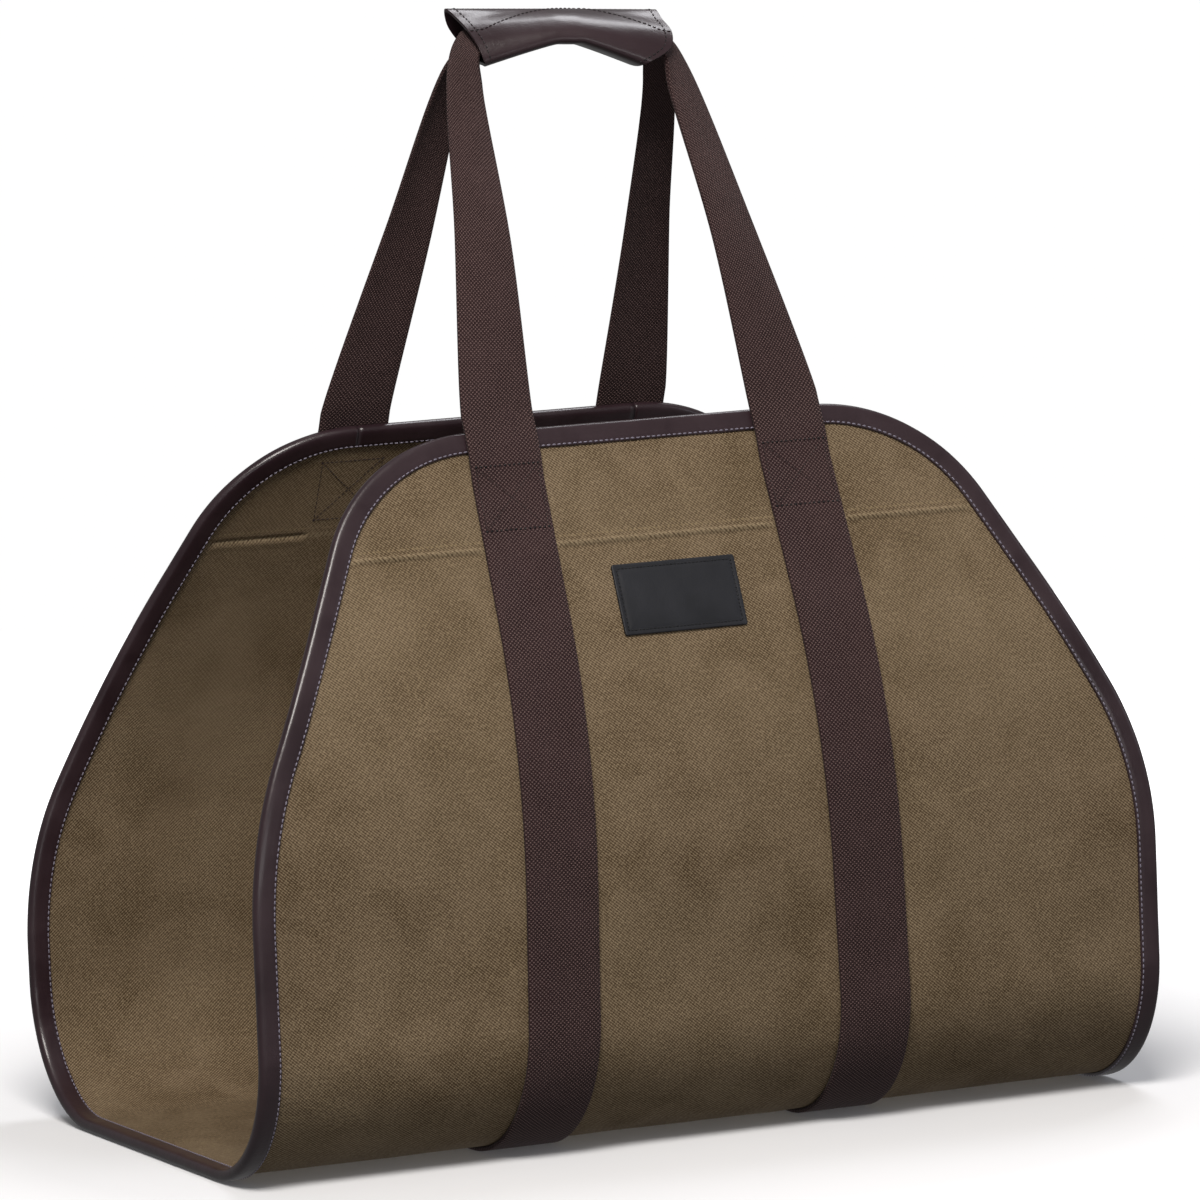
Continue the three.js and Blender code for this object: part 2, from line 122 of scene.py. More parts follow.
shoulderTurn = math.pi / 2 - panel["taper"]
shoulderEnd = panel["shoulder"] * (1 - math.cos(shoulderTurn))
hipHalf = panel["wide"] / 2 - panel["hip"] * (1 - math.cos(panel["taper"]))


# Half the width there, and the way the edge runs
def outlineAt(front, drop):
    topHalf = panel["topFlat"][front] / 2
    shoulderHalf = topHalf + panel["shoulder"] * math.sin(shoulderTurn)
    hipStart = shoulderEnd + (hipHalf - shoulderHalf) / math.tan(panel["taper"])
    hipEnd = hipStart + panel["hip"] * math.sin(panel["taper"])
    if drop <= shoulderEnd:
        turn = math.acos(1 - max(0.0, drop) / panel["shoulder"])
        return topHalf + panel["shoulder"] * math.sin(turn), turn
    if drop <= hipStart:
        return shoulderHalf + (drop - shoulderEnd) * math.tan(panel["taper"]), shoulderTurn
    if drop <= hipEnd:
        left = math.asin((hipEnd - drop) / panel["hip"])
        return panel["wide"] / 2 - panel["hip"] * (1 - math.cos(left)), math.pi / 2 - left
    return panel["wide"] / 2, math.pi / 2


def webCentre(front, drop):
    share = min(1.0, max(0.0, drop) / endLength(front))
    return mix(web["spreadTop"], web["spreadBase"], share) / 2


# Mesh helpers
def meshPiece(name, points, faces, uvs, material, replaced=()):
    mesh = bpy.data.meshes.new(name)
    mesh.from_pydata([tuple(c * mm for c in p) for p in points], [], faces)
    if uvs is not None:
        layer = mesh.uv_layers.new(name="cloth")
        loopVertex = np.zeros(len(mesh.loops), dtype=np.int32)
        mesh.loops.foreach_get("vertex_index", loopVertex)
        layer.data.foreach_set("uv", (np.array(uvs)[loopVertex] * mm).ravel())
    mesh.polygons.foreach_set("use_smooth", [True] * len(mesh.polygons))
    mesh.update()
    piece = bpy.data.objects.new(name, mesh)
    bpy.context.scene.collection.objects.link(piece)
    mesh.materials.append(material)
    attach(piece, "root")
    if replaced:
        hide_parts(*replaced)
    return piece


# Turns all faces round where a closed body's volume comes out negative
def outwards(points, faces):
    p = np.array(points)
    f = np.array(faces)
    volume = 0.0
    for a, b in ((1, 2), (2, 3)):
        volume += np.einsum("ij,ij->", p[f[:, 0]], np.cross(p[f[:, a]], p[f[:, b]]))
    return [face[::-1] for face in faces] if volume < 0 else faces


# A body through rings of points, capped at both ends, or closed on itself
def sweptPiece(name, rings, uvs, material, replaced=(), closed=False):
    count = len(rings[0])
    points = [p for ring in rings for p in ring]
    flatUvs = [uv for ring in uvs for uv in ring]
    faces = []
    for r in range(len(rings) - 1):
        for i in range(count):
            j = (i + 1) % count
            faces.append((r * count + i, r * count + j, (r + 1) * count + j, (r + 1) * count + i))
    last = (len(rings) - 1) * count
    if closed:
        for i in range(count):
            j = (i + 1) % count
            faces.append((last + i, last + j, j, i))
    else:
        half = count // 2
        for i in range(half - 1):
            far = count - 1 - i
            faces.append((i, far, far - 1, i + 1))
            faces.append((last + i, last + i + 1, last + far - 1, last + far))
    return meshPiece(name, points, outwards(points, faces), flatUvs, material, replaced)


# Materials
def toLinear(code):
    channels = [int(code[i:i + 2], 16) / 255 for i in (1, 3, 5)]
    line = [c / 12.92 if c <= 0.04045 else ((c + 0.055) / 1.055) ** 2.4 for c in channels]
    return (*line, 1.0)


# A link is a value, a socket, or a node whose first output is used
def addNode(tree, kind, links=None, **settings):
    node = tree.nodes.new(kind)
    for key, value in settings.items():
        setattr(node, key, value)
    for key, value in (links or {}).items():
        source = value.outputs[0] if isinstance(value, bpy.types.Node) else value
        if isinstance(source, bpy.types.NodeSocket):
            tree.links.new(source, node.inputs[key])
        else:
            node.inputs[key].default_value = source
    return node


def newMaterial(name, settings):
    material = bpy.data.materials.new(name)
    material.use_nodes = True
    shader = material.node_tree.nodes["Principled BSDF"]
    for key, value in settings.items():
        shader.inputs[key].default_value = value
    return material, material.node_tree, shader


def clothPlace(tree):
    place = addNode(tree, "ShaderNodeUVMap", uv_map="cloth")
    parts = addNode(tree, "ShaderNodeSeparateXYZ", {0: place})
    return place, parts.outputs[0], parts.outputs[1]


# A wave over the cloth that repeats after a length, with its direction as shares of u and v
def threadWave(tree, u, v, alongU, alongV, period):
    slant = addNode(tree, "ShaderNodeMath", {0: u, 1: alongU}, operation="MULTIPLY")
    slant = addNode(tree, "ShaderNodeMath", {0: v, 1: alongV, 2: slant}, operation="MULTIPLY_ADD")
    turns = addNode(tree, "ShaderNodeMath", {0: slant, 1: 2 * math.pi / (period * mm)},
                    operation="MULTIPLY")
    return addNode(tree, "ShaderNodeMath", {0: turns}, operation="SINE")


# How near the cloth is to a line across it, at either end: 1 on the line, 0 beyond its half width
def nearLine(tree, v, drop, half):
    marks = []
    for front in (1, -1):
        line = front * (endLength(front) - drop) * mm
        side = addNode(tree, "ShaderNodeMath", {0: v, 1: line}, operation="SUBTRACT")
        away = addNode(tree, "ShaderNodeMath", {0: side}, operation="ABSOLUTE")
        marks.append(addNode(tree, "ShaderNodeMapRange", {
            0: away, 1: half * mm * 0.6, 2: half * mm, 3: 1.0, 4: 0.0}))
    return addNode(tree, "ShaderNodeMath", {0: marks[0], 1: marks[1]}, operation="MAXIMUM")


# Lays paints over each other. A layer is its mask, the mask's range, the cover there, and the paint.
def paintLayers(tree, ground, layers):
    colour = toLinear(ground)
    for mask, low, high, coverLow, coverHigh, paint in layers:
        cover = addNode(tree, "ShaderNodeMapRange", {
            0: mask, 1: low, 2: high, 3: coverLow, 4: coverHigh})
        colour = addNode(tree, "ShaderNodeMix", {0: cover, 6: colour, 7: toLinear(paint)},
                         data_type="RGBA").outputs[2]
    return colour


# Waxed cotton canvas: olive khaki, a fine twill on the slant, dry wax with paler rubbed creases; the
# seam welt is painted paler, partly stitching and partly painted highlight
def waxedCanvas():
    material, tree, shader = newMaterial("waxedCanvas", {
        "Roughness": 0.8, "Specular IOR Level": 0.16})
    place, u, v = clothPlace(tree)
    cloud = {}
    for name, size, detail, rough, distort in (         # sizes in millimetres
            ("speckle", 1.613, 3.0, 0.65, 0.0),
            ("mottle", 29.41, 5.0, 0.6, 0.5),
            ("patches", 111.1, 3.0, 0.5, 0.4),
            ("folds", 66.67, 6.0, 0.62, 1.2),
            ("rubbing", 90.91, 2.0, 0.55, 0.0),
            ("crumple", 18.18, 6.0, 0.6, 0.4)):
        cloud[name] = addNode(tree, "ShaderNodeTexNoise", {
            "Vector": place, "Scale": 1 / (size * mm), "Detail": detail, "Roughness": rough,
            "Distortion": distort})
    lines = threadWave(tree, u, v, 0.64, 0.77, panel["twillLine"])
    dots = threadWave(tree, u, v, 0.77, -0.64, panel["twillDot"])
    twill = addNode(tree, "ShaderNodeMath", {0: dots, 1: 0.45, 2: lines}, operation="MULTIPLY_ADD")
    weave = addNode(tree, "ShaderNodeMapRange", {0: twill, 1: -1.3, 2: 1.3})
    fromFold = addNode(tree, "ShaderNodeMath", {0: cloud["folds"], 1: 0.5}, operation="SUBTRACT")
    fromFold = addNode(tree, "ShaderNodeMath", {0: fromFold}, operation="ABSOLUTE")
    thin = addNode(tree, "ShaderNodeMapRange", {0: fromFold, 1: 0.0, 2: 0.013, 3: 0.42, 4: 0.0})
    worn = addNode(tree, "ShaderNodeMapRange", {0: cloud["rubbing"], 1: 0.5, 2: 0.66})
    crease = addNode(tree, "ShaderNodeMath", {0: thin, 1: worn}, operation="MULTIPLY")
    turns = threadWave(tree, u, v, 0.83, 0.56, panel["cordTwist"])
    twist = addNode(tree, "ShaderNodeMapRange", {0: turns, 1: -0.6, 2: 0.8})
    welt = nearLine(tree, v, panel["seamDrop"], panel["weltHalf"])
    second = nearLine(tree, v, panel["seamDrop"] - panel["rowAbove"], panel["rowHalf"])
    # the welt's twisted stripes, painted paler both for the stitching and as a painted highlight on
    # the seam ridge
    weltTwistAndHighlight = addNode(tree, "ShaderNodeMath", {0: welt, 1: twist}, operation="MULTIPLY")
    row = addNode(tree, "ShaderNodeMath", {0: second, 1: twist}, operation="MULTIPLY")
    colour = paintLayers(tree, "#54432f", [
        (cloud["mottle"], 0.36, 0.64, 0.0, 1.0, "#705e49"),
        (cloud["patches"], 0.42, 0.68, 0.0, 0.6, "#7c6b55"),
        (crease, 0.0, 1.0, 0.0, 1.0, "#8d7b5e"),
        (weave, 0.0, 0.55, 0.75, 0.0, "#3a2d1d"),
        (weave, 0.55, 1.0, 0.0, 0.65, "#9c8b71"),
        (cloud["speckle"], 0.5, 0.75, 0.0, 0.42, "#a08e72"),
        (cloud["speckle"], 0.5, 0.25, 0.0, 0.42, "#382b1b"),
        # painted highlight on the seam welt, laid with its twisted stitch stripes
        (weltTwistAndHighlight, 0.0, 1.0, 0.0, 0.42, "#a39275"),
        (row, 0.0, 1.0, 0.0, 0.38, "#998666"),
    ])
    tree.links.new(colour, shader.inputs["Base Color"])
    dryness = addNode(tree, "ShaderNodeMapRange", {
        0: cloud["mottle"], 1: 0.3, 2: 0.7, 3: 0.86, 4: 0.72})
    tree.links.new(dryness.outputs[0], shader.inputs["Roughness"])
    height = weave
    for part, share in ((cloud["speckle"], 0.45), (weltTwistAndHighlight, 1.2), (row, 1.0)):
        height = addNode(tree, "ShaderNodeMath", {0: part, 1: share, 2: height},
                         operation="MULTIPLY_ADD")
    fine = addNode(tree, "ShaderNodeBump", {
        "Strength": 0.5, "Distance": 0.25 * mm, "Height": height})
    crumple = addNode(tree, "ShaderNodeMath", {0: crease, 1: 0.5, 2: cloud["crumple"]},
                      operation="MULTIPLY_ADD")
    coarse = addNode(tree, "ShaderNodeBump", {
        "Strength": 0.32, "Distance": 1.1 * mm, "Height": crumple, "Normal": fine})
    tree.links.new(coarse.outputs[0], shader.inputs["Normal"])
    return material


# Heavy cotton webbing: dark burgundy brown, dull, rows of small knuckles set between each other
def cottonWebbing():
    material, tree, shader = newMaterial("cottonWebbing", {
        "Roughness": 0.9, "Specular IOR Level": 0.12, "Sheen Weight": 0.05,
        "Sheen Roughness": 0.5})
    place, u, v = clothPlace(tree)
    across = threadWave(tree, u, v, 1.0, 0.0, web["knuckleWide"])
    along = threadWave(tree, u, v, 0.0, 1.0, web["knuckleLong"])
    checks = addNode(tree, "ShaderNodeMath", {0: across, 1: along}, operation="MULTIPLY")
    knuckle = addNode(tree, "ShaderNodeMapRange", {0: checks, 1: -0.15, 2: 0.85})
    tone = addNode(tree, "ShaderNodeTexNoise", {
        "Vector": place, "Scale": 1 / (25 * mm), "Detail": 4.0, "Roughness": 0.6})
    fuzz = addNode(tree, "ShaderNodeTexNoise", {
        "Vector": place, "Scale": 1 / (0.8333 * mm), "Detail": 2.0, "Roughness": 0.5})
    colour = paintLayers(tree, "#241617", [
        (tone, 0.3, 0.7, 0.0, 1.0, "#302122"),
        (knuckle, 0.15, 0.8, 0.0, 0.85, "#6f5a58"),
        (fuzz, 0.5, 0.8, 0.0, 0.25, "#75625e"),
    ])
    tree.links.new(colour, shader.inputs["Base Color"])
    bump = addNode(tree, "ShaderNodeBump", {
        "Strength": 0.8, "Distance": 0.5 * mm, "Height": knuckle})
    tree.links.new(bump.outputs[0], shader.inputs["Normal"])
    return material


# Finished leather: smooth, soft to high gloss, its fine pores drawn coarse enough to show
def finishedLeather(name, base, rubbed, roughness, coat):
    material, tree, shader = newMaterial(name, {
        "Roughness": roughness, "Specular IOR Level": 0.4,
        "Coat Weight": coat, "Coat Roughness": 0.18})
    place = addNode(tree, "ShaderNodeUVMap", uv_map="cloth")
    cloud = {}
    for part, size, detail, distort in (                # sizes in millimetres
            ("tone", 38.46, 4.0, 0.4), ("skin", 3.846, 4.0, 0.0), ("dents", 22.22, 3.0, 0.0)):
        cloud[part] = addNode(tree, "ShaderNodeTexNoise", {
            "Vector": place, "Scale": 1 / (size * mm), "Detail": detail, "Roughness": 0.55,
            "Distortion": distort})
    colour = paintLayers(tree, base, [(cloud["tone"], 0.35, 0.7, 0.0, 1.0, rubbed)])
    tree.links.new(colour, shader.inputs["Base Color"])
    pores = addNode(tree, "ShaderNodeTexVoronoi", {"Vector": place, "Scale": 1 / (0.909 * mm)})
    grain = addNode(tree, "ShaderNodeMath", {0: pores, 1: cloud["skin"]}, operation="ADD")
    fine = addNode(tree, "ShaderNodeBump", {
        "Strength": 0.12, "Distance": 0.3 * mm, "Height": grain})
    soft = addNode(tree, "ShaderNodeBump", {
        "Strength": 0.35, "Distance": 1.5 * mm, "Height": cloud["dents"], "Normal": fine})
    tree.links.new(soft.outputs[0], shader.inputs["Normal"])
    polish = addNode(tree, "ShaderNodeMapRange", {
        0: cloud["tone"], 1: 0.3, 2: 0.7, 3: roughness - 0.05, 4: roughness + 0.08})
    tree.links.new(polish.outputs[0], shader.inputs["Roughness"])
    return material


# Bonded polyester thread: a low sheen on each stitch
def bondedThread(name, colour):
    return newMaterial(name, {
        "Base Color": toLinear(colour), "Roughness": 0.55, "Specular IOR Level": 0.4})[0]


canvasMaterial = waxedCanvas()
webbingMaterial = cottonWebbing()
bindingMaterial = finishedLeather("smoothBindingLeather", "#281a1f", "#36272c", 0.36, 0.3)
wrapMaterial = finishedLeather("glazedWrapLeather", "#291b1f", "#36272c", 0.33, 0.28)
labelMaterial = finishedLeather("blueBlackLeather", "#15161b", "#202127", 0.5, 0.0)
bindingThread = bondedThread("slateThread", "#7d7785")
darkThread = bondedThread("blackBrownThread", "#120b0d")
hiddenThread = bondedThread("brownThread", "#2a1d1c")
labelThread = bondedThread("blackThread", "#0e0e11")
print("materials made")


# Canvas. Soft folds rise or sink by millimetres, in the middle zone or beside the webbing.
softFolds = [
    {"front": 1, "zone": 0, "across": 0.35, "down": 0.42, "tall": 0.16, "rise": 1.8},
    {"front": 1, "zone": 0, "across": 0.65, "down": 0.62, "tall": 0.14, "rise": -1.4},
    {"front": 1, "zone": -1, "across": 0.3, "down": 0.5, "tall": 0.18, "rise": -2.2},
    {"front": 1, "zone": 1, "across": 0.4, "down": 0.56, "tall": 0.2, "rise": 1.6},
    {"front": -1, "zone": 0, "across": 0.5, "down": 0.48, "tall": 0.2, "rise": -2.4},
    {"front": -1, "zone": -1, "across": 0.45, "down": 0.6, "tall": 0.16, "rise": 1.8},
    {"front": -1, "zone": 1, "across": 0.6, "down": 0.44, "tall": 0.18, "rise": -1.6},
]
# How far from the webbing the folds and the seam fade in, and how the cloth crumples, pulls at the
# webbing and puckers at the seam. The noise is read at fixed places, so each run gives the same.
drape = {
    "fadeIn": 14, "seamFadeIn": 3, "foldReach": 1.3,
    "hollow": 0.4, "hollowEnd": 4,                 # below the seam, in half widths of it
    "crumple": 0.5, "crumpleAcross": 0.011, "crumpleDown": 0.017,
    "pull": 0.35, "pullReach": 16, "pullAcross": 0.07, "pullDown": 0.02,
    "pucker": 0.5, "puckerReach": 18, "puckerAcross": 0.05,
}


def clothRise(front, drop, x):
    half, turn = outlineAt(front, drop)
    centre = webCentre(front, drop)
    inner, outer = centre - web["wide"] / 2, centre + web["wide"] / 2
    beside = half - (edge["face"] + 1) / max(math.sin(turn), 0.5)
    if abs(x) < inner:
        zone, across = 0, (x + inner) / (2 * inner)
        clear = inner - abs(x)
    elif abs(x) > outer:
        side = 1 if x > 0 else -1
        zone, across = side, (abs(x) - outer) / max(1.0, beside - outer)
        across = across if side > 0 else 1 - across
        clear = min(abs(x) - outer, beside - abs(x))
    else:
        return 0.0
    if clear <= 0:
        return 0.0
    hold = smooth(clear / drape["fadeIn"])
    tight = smooth(clear / drape["seamFadeIn"])
    rise = 0.0
    for fold in softFolds:
        if fold["front"] == front and fold["zone"] == zone:
            away = abs(drop / endLength(front) - fold["down"]) / fold["tall"]
            width = max(fold["across"], 1 - fold["across"])
            aside = abs(across - fold["across"]) / width
            rise += hold * fold["rise"] * smooth(1 - away) * smooth(drape["foldReach"] - aside)
    fromSeam = (drop - panel["seamDrop"]) / (panel["seamWide"] / 2)
    rise += tight * panel["hemRise"] * (1 - smooth((fromSeam + 1) / 2))
    if abs(fromSeam) < 1:
        rise += tight * panel["seamRise"] * (1 - fromSeam ** 2)
    if 1 <= fromSeam < drape["hollowEnd"]:
        left = (drape["hollowEnd"] - fromSeam) / (drape["hollowEnd"] - 1)
        rise -= tight * drape["hollow"] * left * smooth(fromSeam - 1)
    spot = Vector((x * drape["crumpleAcross"], drop * drape["crumpleDown"], 3.0 * front))
    rise += drape["crumple"] * hold * noise.fractal(spot, 0.9, 2.1, 4)
    pull = Vector((x * drape["pullAcross"], drop * drape["pullDown"], 9.0 + front))
    fromWeb = min(abs(abs(x) - outer), abs(abs(x) - inner))
    nearWeb = math.exp(-fromWeb / drape["pullReach"])
    rise += drape["pull"] * hold * nearWeb * noise.noise(pull)
    pucker = Vector((x * drape["puckerAcross"], 5.0, front * 7.0))
    nearSeam = math.exp(-abs(drop - panel["seamDrop"]) / drape["puckerReach"])
    rise += drape["pucker"] * hold * nearSeam * noise.noise(pucker)
    return rise


def makeCanvas():
    rows = []
    for front in (1, -1):
        total = endLength(front)
        count = int(total / panel["step"])
        drops = [mix(panel["step"], total, i / count) for i in range(count + 1)]
        drops += [panel["seamDrop"] + panel["seamRow"] * k for k in range(-6, 10)]
        drops = sorted([*panel["edgeRows"], *drops])
        if front < 0:
            drops = drops[:-1][::-1]
        rows += [(front, drop) for drop in drops]
    columns = int(panel["wide"] / panel["step"])
    rings, uvs = [], []
    for front, drop in rows:
        half, _ = outlineAt(front, drop)
        xs = [mix(-half, half, i / columns) for i in range(columns + 1)]
        rises = [clothRise(front, drop, x) for x in xs]
        outer = [onPanel(front, drop, x, r) for x, r in zip(xs, rises)]
        inner = [onPanel(front, drop, x, r - panel["thick"]) for x, r in zip(xs, rises)]
        length = front * (endLength(front) - drop)
        rings.append(outer + inner[::-1])
        flat = [(x, length) for x in xs]
        uvs.append(flat + flat[::-1])
    cloth = sweptPiece("waxedPanel", rings, uvs, canvasMaterial, ["canvas_body"])


makeCanvas()
print("canvas made")


# Leather binding. Its section is places in from the cloth's edge and out from its face, round the
# U: thin at the stitched edge, dented under the stitches and puffed towards the bend.
def bindingSection():
    t, face, gap = edge["thick"], edge["face"], edge["gap"]
    middle = -panel["thick"] / 2
    reach = gap + t
    outside = [(face, gap + 0.2), (face - 0.1, reach - 0.6), (face - 0.4, reach - 0.25),
               (edge["stitchIn"], reach - 0.4), (face - 1.6, reach - 0.05),
               (face - 3.4, reach), (face - 5.4, reach + 0.1), (face - 7.4, reach + 0.25)]
    angles = [math.pi / 2 - math.pi * k / edge["bendSides"] for k in range(edge["bendSides"] + 1)]
    high = panel["thick"] / 2 + reach + edge["bendUp"]
    bend = [(-(reach + edge["bendOut"]) * math.cos(a) + edge["bendIn"] * (1 - math.cos(a)),
             middle + high * math.sin(a)) for a in angles]
    outer = outside + bend + [(b, 2 * middle - n) for b, n in reversed(outside)]
    inner = [(b, gap + 0.05) for b, n in outside]
    inner += [(-gap * math.cos(a), middle + (panel["thick"] / 2 + gap) * math.sin(a))
              for a in angles]
    inner += [(b, 2 * middle - gap - 0.05) for b, n in reversed(outside)]
    return outer + inner[::-1]


def onBinding(front, drop, x, turn, side, inward, out):
    return onPanel(front, drop + inward * math.cos(turn),
                   x - side * inward * math.sin(turn), out)


# Places along the outline, front top to back top: front, drop, x, turn
def bindingPath(side):
    joint = web["spreadTop"] / 2 + edge["gap"] / 2
    path = []
    for front in (1, -1):
        half = []
        topHalf = panel["topFlat"][front] / 2
        count = int(abs(topHalf - joint) / edge["step"]) + 1
        for i in range(count):
            half.append((front, 0.0, side * mix(joint, topHalf, i / count), 0.0))
        arc = int(panel["shoulder"] * shoulderTurn / edge["step"])
        drops = [panel["shoulder"] * (1 - math.cos(shoulderTurn * i / arc)) for i in range(arc)]
        total = endLength(front)
        rest = int((total - shoulderEnd) / edge["step"])
        drops += [mix(shoulderEnd, total, i / rest) for i in range(rest + (1 if front > 0 else 0))]
        for drop in drops:
            width, turn = outlineAt(front, drop)
            half.append((front, drop, side * width, turn))
        path += half if front > 0 else half[::-1]
    return path


def pathLengths(points):
    total, out = 0.0, [0.0]
    for a, b in zip(points, points[1:]):
        total += math.dist(a, b)
        out.append(total)
    return out


def makeBinding(name, path, side, node):
    section = bindingSection()
    around = pathLengths([(b, n) for b, n in section])
    along = pathLengths([onPanel(f, d, x, 0) for f, d, x, _ in path])
    rings, uvs = [], []
    for (front, drop, x, turn), length in zip(path, along):
        waver = edge["waver"] * noise.noise(Vector((length * 0.03, side, 1.0)))
        puff = edge["puff"] * noise.noise(Vector((length * 0.05, side, 4.0)))
        ring = []
        for inward, out in section:
            share = max(0.0, inward) / edge["face"]
            swell = puff * (1 - share) * (1 if out > -panel["thick"] / 2 else -1)
            ring.append(onBinding(front, drop, x, turn, side, inward + waver * share, out + swell))
        rings.append(ring)
        uvs.append([(a, length) for a in around])
    return sweptPiece(name, rings, uvs, bindingMaterial, [node])


for side, name, node in ((-1, "bindingLeft", "binding_left"), (1, "bindingRight", "binding_right")):
    makeBinding(name, bindingPath(side), side, node)
for front, name, node in ((1, "bindingFrontTop", "binding_front_top"),
                          (-1, "bindingBackTop", "binding_back_top")):
    joint = web["spreadTop"] / 2 - edge["gap"] / 2
    topPath = [(front, 0.0, mix(-joint, joint, i / 50), 0.0) for i in range(51)]
    makeBinding(name, topPath, 1, node)
print("binding made")


# Webbing. The sizes of the hand wrap come first, because both loops run through it.
wrap = {
    "long": 108, "bottom": 523, "high": 26, "deep": 38, "thick": 1.6,
    "turn": math.radians(-8), "tilt": math.radians(-3.2), "shift": 5,
    "flare": 1.1, "rings": 70, "sides": 72,
}

# Places of the webbing's two edges inside the wrap, from its mouth to its middle, as shares of
# half the wrap's length, its depth and its height
frontRoute = [
    {"inner": (0.89, -0.51, -0.45), "outer": (1.14, -0.16, -0.03), "curl": 0.05},
    {"inner": (0.87, -0.38, 0.18), "outer": (1.0, 0.0, 0.48), "curl": 0.01},
    {"inner": (0.6, -0.33, 0.4), "outer": (0.82, 0.13, 0.7), "curl": 0.0},
    {"inner": (0.0, -0.33, 0.62), "outer": (0.0, 0.2, 0.8), "curl": 0.0},
]
backRoute = [
    {"inner": (0.86, 0.46, -0.28), "outer": (1.07, 0.13, 0.0), "curl": 0.05},
    {"inner": (0.82, 0.35, 0.15), "outer": (0.93, -0.02, 0.25), "curl": 0.01},
    {"inner": (0.58, 0.34, 0.32), "outer": (0.68, -0.18, 0.3), "curl": 0.0},
    {"inner": (0.0, 0.35, 0.57), "outer": (0.0, -0.28, 0.51), "curl": 0.0},
]
midRise = {"share": 0.52, "curl": 0.05}
bows = {1: {"inner": 13.5, "outer": 10}, -1: {"inner": 1, "outer": 9}}   # front and back loop


def webLift(drop):
    over = 1 - smooth((drop - edge["face"]) / (2 * edge["face"]))
    return web["gap"] + (edge["gap"] + edge["thick"] + web["slack"]) * over


def turned(p):
    share = smooth((p[2] - panel["frontHeight"]) / (wrap["bottom"] - panel["frontHeight"]))
    c, s = math.cos(wrap["turn"] * share), math.sin(wrap["turn"] * share)
    lift = p[0] * math.tan(wrap["tilt"])
    return (p[0] * c - p[1] * s + wrap["shift"] * share, p[0] * s + p[1] * c, p[2] + lift * share)


def inWrap(p):
    return (p[0] * wrap["long"] / 2, p[1] * wrap["deep"], wrap["bottom"] + p[2] * wrap["high"])


def halfRoute(front):
    centre = webCentre(front, 0)
    middle = webLift(0) + web["thick"] / 2
    route = frontRoute if front > 0 else backRoute

    def edgePair(drop):
        return {"inner": onPanel(front, drop, centre - web["wide"] / 2, middle),
                "outer": onPanel(front, drop, centre + web["wide"] / 2, middle), "curl": 0.0}

    low = edgePair(-web["standUp"])
    mouth = {key: inWrap(route[0][key]) for key in ("inner", "outer")}
    rise = {key: mixPoint(low[key], mouth[key], midRise["share"]) for key in ("inner", "outer")}
    for key, bow in bows[front].items():
        x, y, z = rise[key]
        rise[key] = (x, y - front * bow, z)
    rise["curl"] = midRise["curl"]
    inside = [{"inner": inWrap(r["inner"]), "outer": inWrap(r["outer"]), "curl": r["curl"]}
              for r in route]
    return [edgePair(0), low, rise] + inside


# Centripetal Catmull-Rom curve through the points, u from 0 to 1
def curvePoint(points, u):
    spans = len(points) - 1
    place = min(u, 1.0) * spans
    i = min(spans - 1, int(place))
    t = place - i
    p1, p2 = points[i], points[i + 1]
    p0 = points[i - 1] if i > 0 else 2 * p1 - p2
    p3 = points[i + 2] if i + 2 <= spans else 2 * p2 - p1
    d0, d1, d2 = ((b - a).length ** 0.5 for a, b in ((p0, p1), (p1, p2), (p2, p3)))
    t1 = ((p1 - p0) / d0 - (p2 - p0) / (d0 + d1) + (p2 - p1) / d1) * d1
    t2 = ((p2 - p1) / d1 - (p3 - p1) / (d1 + d2) + (p3 - p2) / d2) * d1
    return (p1 + t1 * t + (-3 * p1 + 3 * p2 - 2 * t1 - t2) * t * t
            + (2 * p1 - 2 * p2 + t1 + t2) * t * t * t)


# Gives a place on a loop's webbing above the top edge: along, across, and out from its middle
def handleSurface(front):
    right = halfRoute(front)
    left = [{"inner": (-r["inner"][0], *r["inner"][1:]), "outer": (-r["outer"][0], *r["outer"][1:]),
             "curl": r["curl"]} for r in right[:-1][::-1]]
    rows = right + left
    inner = [Vector(turned(r["inner"])) for r in rows]
    outer = [Vector(turned(r["outer"])) for r in rows]
    spans = len(rows) - 1

    def curlAt(u):
        i = min(spans - 1, int(u * spans))
        return mix(rows[i]["curl"], rows[i + 1]["curl"], smooth(u * spans - i))

    def flat(u, share):
        return curvePoint(inner, u).lerp(curvePoint(outer, u), (share + 1) / 2)

    def normal(u, share):
        small = 1e-3
        along = flat(min(1.0, u + small), share) - flat(max(0.0, u - small), share)
        across = flat(u, 1) - flat(u, -1)
        return (across.cross(along) * front).normalized()

    def place(u, share, out):
        bow = curlAt(u) * web["wide"] * (1 - share * share)
        return flat(u, share) + normal(u, 0) * bow + normal(u, share) * out

    return place, spans


# Across, as a share of half the width, and out, as a share of half the thickness
def webSection():
    flat = [mix(-0.97, 0.97, i / 12) for i in range(13)]
    upper = [(-1.0, 0.35), (-0.99, 0.75)] + [(a, 1.0) for a in flat] + [(0.99, 0.75), (1.0, 0.35)]
    return upper + [(a, -o) for a, o in reversed(upper)]


